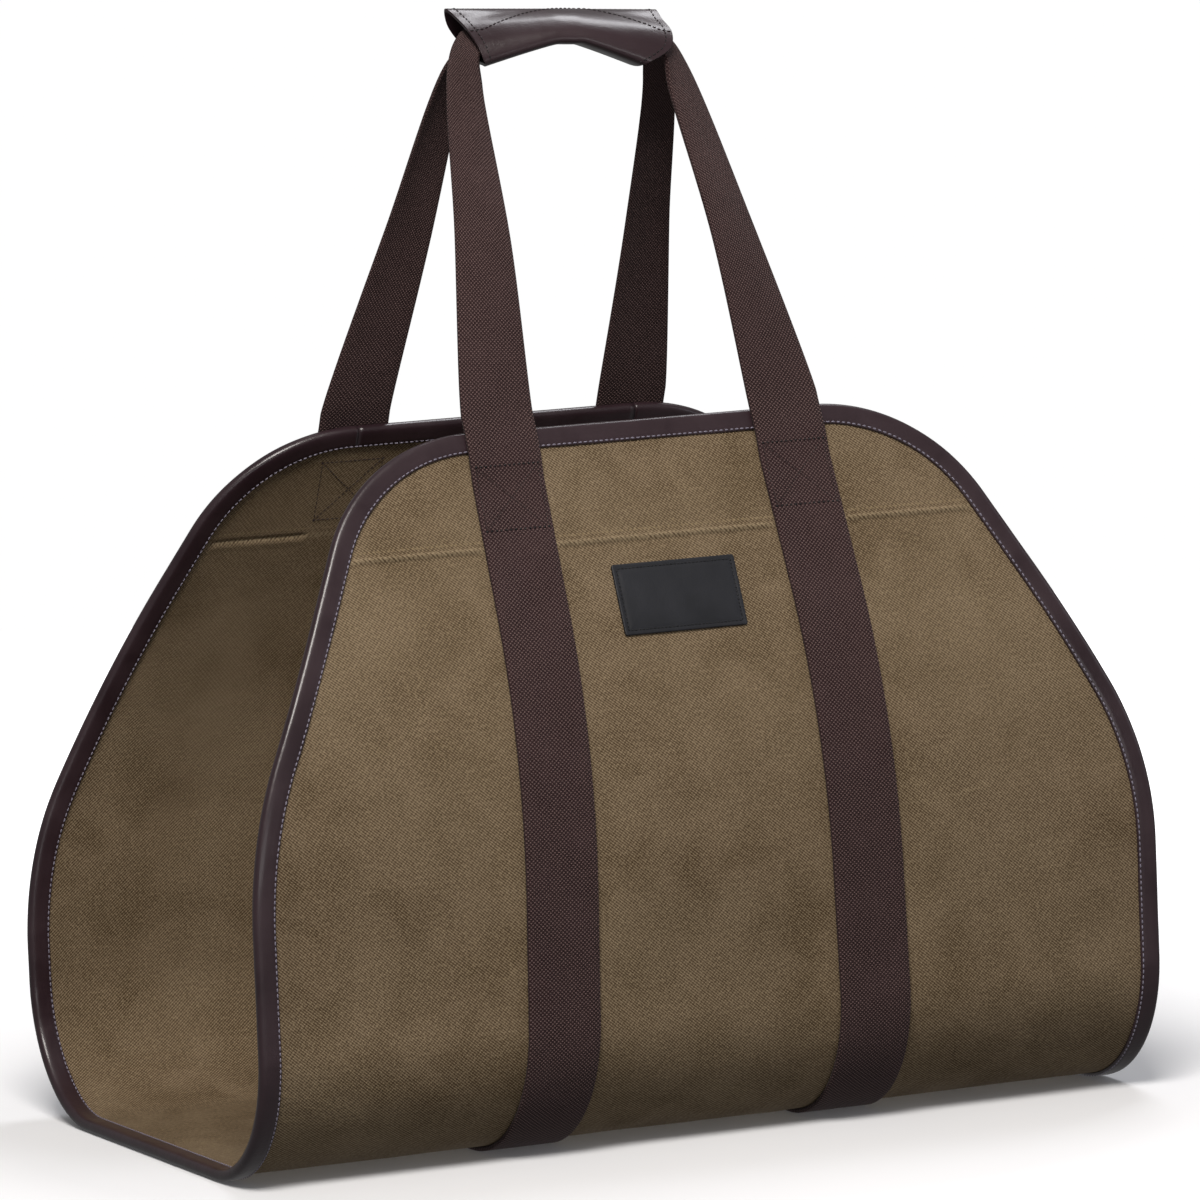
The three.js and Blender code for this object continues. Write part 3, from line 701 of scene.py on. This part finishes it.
def makeWebbing(name, front, node):
    section = webSection()
    rings, uvs = [], []
    place, spans = handleSurface(front)
    thick = web["thick"] / 2
    nearMiddle = 9

    def panelRing(drop, side, apart=0.0):
        centre, lift = webCentre(front, drop), webLift(drop)
        ring = []
        for across, out in section:
            x, y, z = onPanel(front, drop, side * (centre + across * web["wide"] / 2),
                              lift + thick + out * thick)
            ring.append((x, y - front * apart, z))
        return ring

    total = endLength(front)
    count = int(total / web["step"])
    climb = [mix(total, 0, i / count) for i in range(count + 1)]
    length = 0.0

    def addRing(ring):
        nonlocal length
        if rings:
            length += math.dist(ring[nearMiddle], rings[-1][nearMiddle])
        rings.append(ring)
        uvs.append([(across * web["wide"] / 2, length) for across, out in section])

    addRing(panelRing(total, 1, web["gap"] / 2))
    for drop in climb[1:]:
        addRing(panelRing(drop, 1))
    start, end = 1.0 / spans, 1 - 1.0 / spans
    for i in range(web["loopRings"] + 1):
        u = mix(start, end, i / web["loopRings"])
        addRing([tuple(place(u, across, out * thick)) for across, out in section])
    for drop in climb[:0:-1]:
        addRing(panelRing(drop, -1))
    addRing(panelRing(total, -1, web["gap"] / 2))
    return sweptPiece(name, rings, uvs, webbingMaterial, [node])


makeWebbing("frontWebbing", 1, "front_webbing")
makeWebbing("backWebbing", -1, "back_webbing")
print("webbing made")


# Hand wrap
# Section of the hand wrap from its front bottom corner over the top, as shares: at the ends, at
# the middle, how far the left and right ends reach, and the share that keeps the middle's place
wrapColumns = ("endBack", "endUp", "midBack", "midUp", "left", "right", "throat")
wrapSection = [dict(zip(wrapColumns, row)) for row in (
    (-0.53, 0.0, -0.47, 0.42, 0.86, 0.67, 0.15),
    (-0.47, 0.31, -0.46, 0.6, 0.9, 0.93, 0.15),
    (-0.28, 0.6, -0.29, 0.84, 0.95, 0.99, 0.1),
    (-0.03, 0.82, -0.03, 0.98, 1.0, 0.96, 0.1),
    (0.22, 1.0, 0.22, 1.0, 1.07, 0.94, 0.1),
    (0.4, 0.68, 0.42, 0.84, 1.02, 0.9, 0.1),
    (0.47, 0.34, 0.49, 0.62, 0.9, 0.82, 0.15),
    (0.46, 0.02, 0.43, 0.42, 0.78, 0.73, 0.15),
    (-0.02, -0.06, -0.02, 0.35, 0.79, 0.65, 0.15),
)]


def wrapCorners(share):
    corners = []
    for row in wrapSection:
        opened = max(0.0, (abs(share) - row["throat"]) / (1 - row["throat"])) ** wrap["flare"]
        back = mix(row["midBack"], row["endBack"], opened) * wrap["deep"]
        rise = mix(row["midUp"], row["endUp"], opened) * wrap["high"]
        reach = row["left"] if share < 0 else row["right"]
        corners.append(Vector((share * reach * wrap["long"] / 2, back, rise)))
    return corners[-2:] + corners + corners[:3]


# A place on the wrap: along it from -1 to 1, round it in rows of its section, and in from its face
def wrapPoint(corners, row, inset):
    u = (2 + row) / (len(corners) - 1)
    here = curvePoint(corners, u)
    tangent = curvePoint(corners, u + 1e-3) - here
    normal = Vector((0, -tangent[2], tangent[1])).normalized()
    here = here - normal * inset
    return turned((here[0], here[1], wrap["bottom"] + here[2]))


def wrapRing(share, inset):
    corners = wrapCorners(share)
    sides = wrap["sides"]
    return [wrapPoint(corners, len(wrapSection) * k / sides, inset) for k in range(sides)]


def makeWrap():
    count = wrap["rings"]
    shares = [math.sin(math.pi / 2 * (-1 + 2 * i / count)) for i in range(count + 1)]
    rings, uvs = [], []
    outside = [wrapRing(s, 0.0) for s in shares]
    inside = [wrapRing(s, wrap["thick"]) for s in shares]
    lip = [[mixPoint(a, b, 0.5) for a, b in zip(o, i)] for o, i in
           ((outside[0], inside[0]), (outside[-1], inside[-1]))]
    loops = outside + [lip[1]] + inside[::-1] + [lip[0]]
    along = 0.0
    for k, ring in enumerate(loops):
        if k:
            along += math.dist(ring[0], loops[k - 1][0])
        rings.append(ring)
        uvs.append([(a, along) for a in pathLengths(ring)])
    return sweptPiece("leatherWrap", rings, uvs, wrapMaterial, ["handle_wrap"], closed=True)


makeWrap()
print("wrap made")


# Label
label = {"wide": 66, "high": 36, "thick": 1.2, "drop": 71.5, "corner": 1.2, "stitchIn": 2.3,
         "threadSunk": 0.1, "grainStart": 1000}


def labelOutline(inset, steps=6):
    r = max(0.4, label["corner"] - inset)
    w, h = label["wide"] / 2 - inset - r, label["high"] / 2 - inset - r
    out = []
    for quarter, (right, up) in enumerate(((1, 1), (-1, 1), (-1, -1), (1, -1))):
        for k in range(steps + 1):
            angle = (quarter + k / steps) * math.pi / 2
            out.append((right * w + r * math.cos(angle), up * h + r * math.sin(angle)))
    return out


def makeLabel():
    middle = label["drop"] + label["high"] / 2
    top, stitchIn = web["gap"] + label["thick"], label["stitchIn"]
    # in from the edge, and out from the canvas: a rounded rim and a dent under the stitches
    levels = [(0.0, web["gap"]), (0.0, top - 0.35), (0.12, top - 0.1), (0.4, top),
              (stitchIn - 0.9, top), (stitchIn, top - 0.22), (stitchIn + 0.9, top - 0.02),
              (stitchIn + 3.0, top + 0.05), (label["high"] / 2 - 1.2, top + 0.1)]
    points, faces, uvs = [], [], []
    for inset, out in levels:
        ring = labelOutline(inset)
        points += [onPanel(1, middle - y, x, out) for x, y in ring]
        uvs += [(x, y + label["grainStart"]) for x, y in ring]
    n = len(labelOutline(0))
    for level in range(len(levels) - 1):
        for i in range(n):
            j = (i + 1) % n
            a, b = level * n, (level + 1) * n
            faces.append((a + i, a + j, b + j, b + i))
    last = (len(levels) - 1) * n
    faces.append(tuple(range(n))[::-1])
    faces.append(tuple(last + i for i in range(n)))
    return meshPiece("blankLabel", points, faces, uvs, labelMaterial, ["label_patch"])


makeLabel()
print("label made")


# Stitches, laid along paths by Geometry Nodes
def stitchTree(material):
    tree = bpy.data.node_groups.new("stitchLine", "GeometryNodeTree")
    face = tree.interface
    face.new_socket("Path", in_out="INPUT", socket_type="NodeSocketGeometry")
    sizes = {"Pitch": 0.004, "Stitch Length": 0.003, "Thread Radius": 0.0004}
    for key, value in sizes.items():
        socket = face.new_socket(key, in_out="INPUT", socket_type="NodeSocketFloat")
        socket.default_value = value
    face.new_socket("Stitches", in_out="OUTPUT", socket_type="NodeSocketGeometry")
    given = addNode(tree, "NodeGroupInput")
    line = addNode(tree, "GeometryNodeMeshToCurve", {0: given.outputs["Path"]})
    even = addNode(tree, "GeometryNodeResampleCurve", {
        "Curve": line.outputs[0], "Length": given.outputs["Pitch"]}, mode="LENGTH")
    tangent = addNode(tree, "GeometryNodeInputTangent")
    turn = addNode(tree, "FunctionNodeAlignRotationToVector", {
        "Vector": tangent.outputs[0]}, axis="Z")
    lengthOf = addNode(tree, "ShaderNodeMath", {
        0: given.outputs["Stitch Length"], 1: given.outputs["Thread Radius"]}, operation="SUBTRACT")
    barrel = addNode(tree, "GeometryNodeMeshUVSphere", {
        "Segments": 6, "Rings": 5, "Radius": 1.0})
    radius = given.outputs["Thread Radius"]
    halfAndOverlap = 0.55
    halfLength = addNode(tree, "ShaderNodeMath", {
        0: lengthOf.outputs[0], 1: halfAndOverlap}, operation="MULTIPLY")
    shape = addNode(tree, "ShaderNodeCombineXYZ", {0: radius, 1: radius, 2: halfLength.outputs[0]})
    stitch = addNode(tree, "GeometryNodeTransform", {
        "Geometry": barrel.outputs[0], "Scale": shape.outputs[0]})
    laid = addNode(tree, "GeometryNodeInstanceOnPoints", {
        "Points": even.outputs[0], "Instance": stitch.outputs[0], "Rotation": turn.outputs[0]})
    real = addNode(tree, "GeometryNodeRealizeInstances", {0: laid.outputs[0]})
    soft = addNode(tree, "GeometryNodeSetShadeSmooth", {0: real.outputs[0]})
    dyed = addNode(tree, "GeometryNodeSetMaterial", {
        "Geometry": soft.outputs[0], "Material": material})
    addNode(tree, "NodeGroupOutput", {0: dyed.outputs[0]})
    return tree


def makeStitches(name, paths, material, pitch, long, radius):
    points, edges = [], []
    for path in paths:
        first = len(points)
        points += [tuple(c * mm for c in p) for p in path]
        edges += [(first + i, first + i + 1) for i in range(len(path) - 1)]
    mesh = bpy.data.meshes.new(name)
    mesh.from_pydata(points, edges, [])
    line = bpy.data.objects.new(name + "Path", mesh)
    bpy.context.scene.collection.objects.link(line)
    tree = stitchTree(material)
    modifier = line.modifiers.new("stitches", "NODES")
    modifier.node_group = tree
    named = {"Pitch": pitch * mm, "Stitch Length": long * mm, "Thread Radius": radius * mm}
    for item in tree.interface.items_tree:
        if item.item_type == "SOCKET" and item.name in named:
            modifier[item.identifier] = named[item.name]
    bpy.context.view_layer.update()
    evaluated = line.evaluated_get(bpy.context.evaluated_depsgraph_get())
    finished = bpy.data.meshes.new_from_object(evaluated)
    finished.name = name
    bpy.data.objects.remove(line)
    piece = bpy.data.objects.new(name, finished)
    bpy.context.scene.collection.objects.link(piece)
    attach(piece, "root")
    return piece


def bindingStitchPaths():
    sunk = 0.2
    top = edge["gap"] + edge["thick"] - sunk
    reach = int(web["spreadTop"] / 2) - 2
    paths = []
    for out in (top, -panel["thick"] - top):
        for side in (-1, 1):
            paths.append([onBinding(f, d, x, turn, side, edge["stitchIn"], out)
                          for f, d, x, turn in bindingPath(side)])
        for front in (1, -1):
            across = range(-reach, reach + 1, 3)
            paths.append([onPanel(front, edge["stitchIn"], x, out) for x in across])
    return paths


makeStitches("bindingStitches", bindingStitchPaths(), bindingThread,
             pitch=2.8, long=2.3, radius=0.42)


boxThread = {"steps": 20, "aboveWebbing": 0.02, "aboveCanvas": 0.1}


# A straight run of box stitches from a to b: across the webbing, and down from the top edge
def boxRun(front, side, a, b, outside):
    points = []
    for i in range(boxThread["steps"] + 1):
        across, drop = mixPoint(a, b, i / boxThread["steps"])
        lift = -panel["thick"] - boxThread["aboveCanvas"]
        if outside:
            lift = webLift(drop) + web["thick"] + boxThread["aboveWebbing"]
        x = side * (webCentre(front, drop) + across * web["boxHalf"])
        points.append(onPanel(front, drop, x, lift))
    return points


def boxStitchPaths(outside, crossed):
    top, bottom = web["boxTop"], web["boxBottom"]
    corners = [(-1, top), (1, top), (1, bottom), (-1, bottom)]
    if crossed:
        runs = [(corners[1], corners[2]), (corners[3], corners[0]),
                (corners[0], corners[2]), (corners[1], corners[3])]
    else:
        runs = [(corners[0], corners[1]), (corners[3], corners[2])]
    return [boxRun(front, side, a, b, outside)
            for front in (1, -1) for side in (-1, 1) for a, b in runs]


makeStitches("boxRows", boxStitchPaths(True, False), darkThread,
             pitch=2.4, long=1.8, radius=0.55)
makeStitches("boxCrosses", boxStitchPaths(True, True), hiddenThread,
             pitch=2.1, long=1.7, radius=0.26)
insidePaths = boxStitchPaths(False, False) + boxStitchPaths(False, True)
makeStitches("boxesInside", insidePaths, hiddenThread,
             pitch=2.4, long=2.0, radius=0.3)


# The near fold's row climbs from the ends to the top fold a little right of the middle
wrapRows = {
    "low": 2.0, "high": 3.95, "meets": 0.16, "flatEnds": 1.15, "top": 4.12,
    "reach": 0.97, "inFromEnd": 0.93, "out": 0.12,
}


def wrapStitchPaths():
    shares = [mix(-wrapRows["reach"], wrapRows["reach"], i / 80) for i in range(81)]
    near, far = [], []
    for share in shares:
        corners = wrapCorners(share)
        side = 1 + wrapRows["meets"] if share < wrapRows["meets"] else 1 - wrapRows["meets"]
        away = min(1.0, abs(share - wrapRows["meets"]) / side)
        row = mix(wrapRows["high"], wrapRows["low"], min(1.0, away * wrapRows["flatEnds"]))
        near.append(wrapPoint(corners, row, -wrapRows["out"]))
        far.append(wrapPoint(corners, wrapRows["top"], -wrapRows["out"]))
    paths = [near, far]
    for end in (-1, 1):
        corners = wrapCorners(end * wrapRows["inFromEnd"])
        paths.append([wrapPoint(corners, i * 0.1, -wrapRows["out"]) for i in range(42)])
    return paths


makeStitches("wrapStitches", wrapStitchPaths(), darkThread,
             pitch=2.6, long=2.0, radius=0.34)


def labelStitchPaths():
    middle = label["drop"] + label["high"] / 2
    out = web["gap"] + label["thick"] - label["threadSunk"]
    ring = labelOutline(label["stitchIn"])
    return [[onPanel(1, middle - y, x, out) for x, y in ring + ring[:1]]]


makeStitches("labelStitches", labelStitchPaths(), labelThread,
             pitch=2.0, long=1.6, radius=0.34)
print("stitches made")


# Floor, wall, light and camera. The stage is seen white, but throws no light on the tote.
def makeStage(name, corners, base, glow, clear=None):
    mesh = bpy.data.meshes.new(name)
    mesh.from_pydata(corners, [], [(0, 1, 2, 3)])
    plane = bpy.data.objects.new(name, mesh)
    bpy.context.scene.collection.objects.link(plane)
    material, tree, shader = newMaterial(name + "White", {
        "Base Color": toLinear(base), "Roughness": 0.9, "Specular IOR Level": 0.0,
        "Emission Color": toLinear("#ffffff"), "Emission Strength": glow})
    if clear:
        # the paint glows only away from the tote, so that its shadow stays
        nearGlow = 0.03
        place = addNode(tree, "ShaderNodeTexCoord").outputs["Object"]
        away = addNode(tree, "ShaderNodeVectorMath", {0: place}, operation="LENGTH")
        paint = addNode(tree, "ShaderNodeMapRange", {
            0: away.outputs["Value"], 1: clear[0], 2: clear[1], 3: nearGlow, 4: glow})
        tree.links.new(paint.outputs[0], shader.inputs["Emission Strength"])
    mesh.materials.append(material)
    plane.visible_diffuse = False
    plane.visible_glossy = False


def makeStudio():
    far, high = 6.0, 5.0
    makeStage("paleFloor", [(-far, -far, 0), (far, -far, 0), (far, far, 0), (-far, far, 0)],
              "#f2f3f6", 0.9, (0.3, 1.1))
    middle, half = Vector((0.9, 1.9, 0.0)), Vector((4.5, -2.1, 0.0))
    low, top = Vector((0.0, 0.0, -0.1)), Vector((0.0, 0.0, high))
    makeStage("paleWall", [tuple(middle - half + low), tuple(middle + half + low),
                           tuple(middle + half + top), tuple(middle - half + top)],
              "#101010", 1.0)


lowTarget, tallTarget = (0.0, 0.0, 0.08), (0.0, 0.0, 0.25)
lights = [
    {"name": "keyPanel", "place": (-1.1, -1.9, 2.75), "target": tallTarget,
     "size": (1.2, 1.2), "power": 104, "tint": "#fffaf4"},
    {"name": "topPanel", "place": (1.1, 0.9, 2.7), "target": tallTarget,
     "size": (1.0, 0.8), "power": 22, "tint": "#fbfbff"},
    {"name": "sidePanel", "place": (2.4, -1.4, 1.2), "target": tallTarget,
     "size": (0.8, 1.6), "power": 5, "tint": "#f3f6ff"},
    {"name": "lowPanel", "place": (-0.6, -3.2, 0.5), "target": lowTarget,
     "size": (2.8, 0.6), "power": 13, "tint": "#ffffff"},
]


def addLight(name, place, target, size, power, tint):
    data = bpy.data.lights.new(name, "AREA")
    data.shape = "RECTANGLE"
    data.size, data.size_y = size
    data.energy = power
    data.color = toLinear(tint)[:3]
    lamp = bpy.data.objects.new(name, data)
    bpy.context.scene.collection.objects.link(lamp)
    lamp.location = place
    lamp.rotation_euler = (Vector(target) - Vector(place)).to_track_quat("-Z", "Y").to_euler()


def makeLight():
    for light in lights:
        addLight(**light)
    world = bpy.data.worlds.new("studio")
    world.use_nodes = True
    sky = world.node_tree.nodes["Background"]
    sky.inputs["Color"].default_value = toLinear("#ffffff")
    sky.inputs["Strength"].default_value = 0.2
    bpy.context.scene.world = world
    bpy.context.scene.view_settings.view_transform = "Standard"


# The camera that the photo's outline fits: long lens, low and from the left
view = {
    "place": (-1863.2, -4042.6, 778.7), "focal": 8982, "frame": 1200,
    "yaw": math.radians(24.9), "pitch": math.radians(6.72), "roll": math.radians(-2.24),
}


def makeCamera():
    data = bpy.data.cameras.new("camera")
    data.sensor_width = 36
    data.sensor_fit = "HORIZONTAL"
    data.lens = view["focal"] / view["frame"] * data.sensor_width
    data.clip_end = 60
    camera = bpy.data.objects.new("camera", data)
    bpy.context.scene.collection.objects.link(camera)
    yaw, pitch, roll = view["yaw"], view["pitch"], view["roll"]
    ahead = Vector((math.sin(yaw) * math.cos(pitch), math.cos(yaw) * math.cos(pitch),
                    -math.sin(pitch)))
    right = Vector((math.cos(yaw), -math.sin(yaw), 0))
    up = right.cross(ahead)
    right, up = (right * math.cos(roll) + up * math.sin(roll),
                 up * math.cos(roll) - right * math.sin(roll))
    matrix = Matrix((right, up, -ahead)).transposed().to_4x4()
    matrix.translation = Vector(view["place"]) * mm
    camera.matrix_world = matrix
    bpy.context.scene.camera = camera


makeStudio()
makeLight()
makeCamera()
print("studio made")
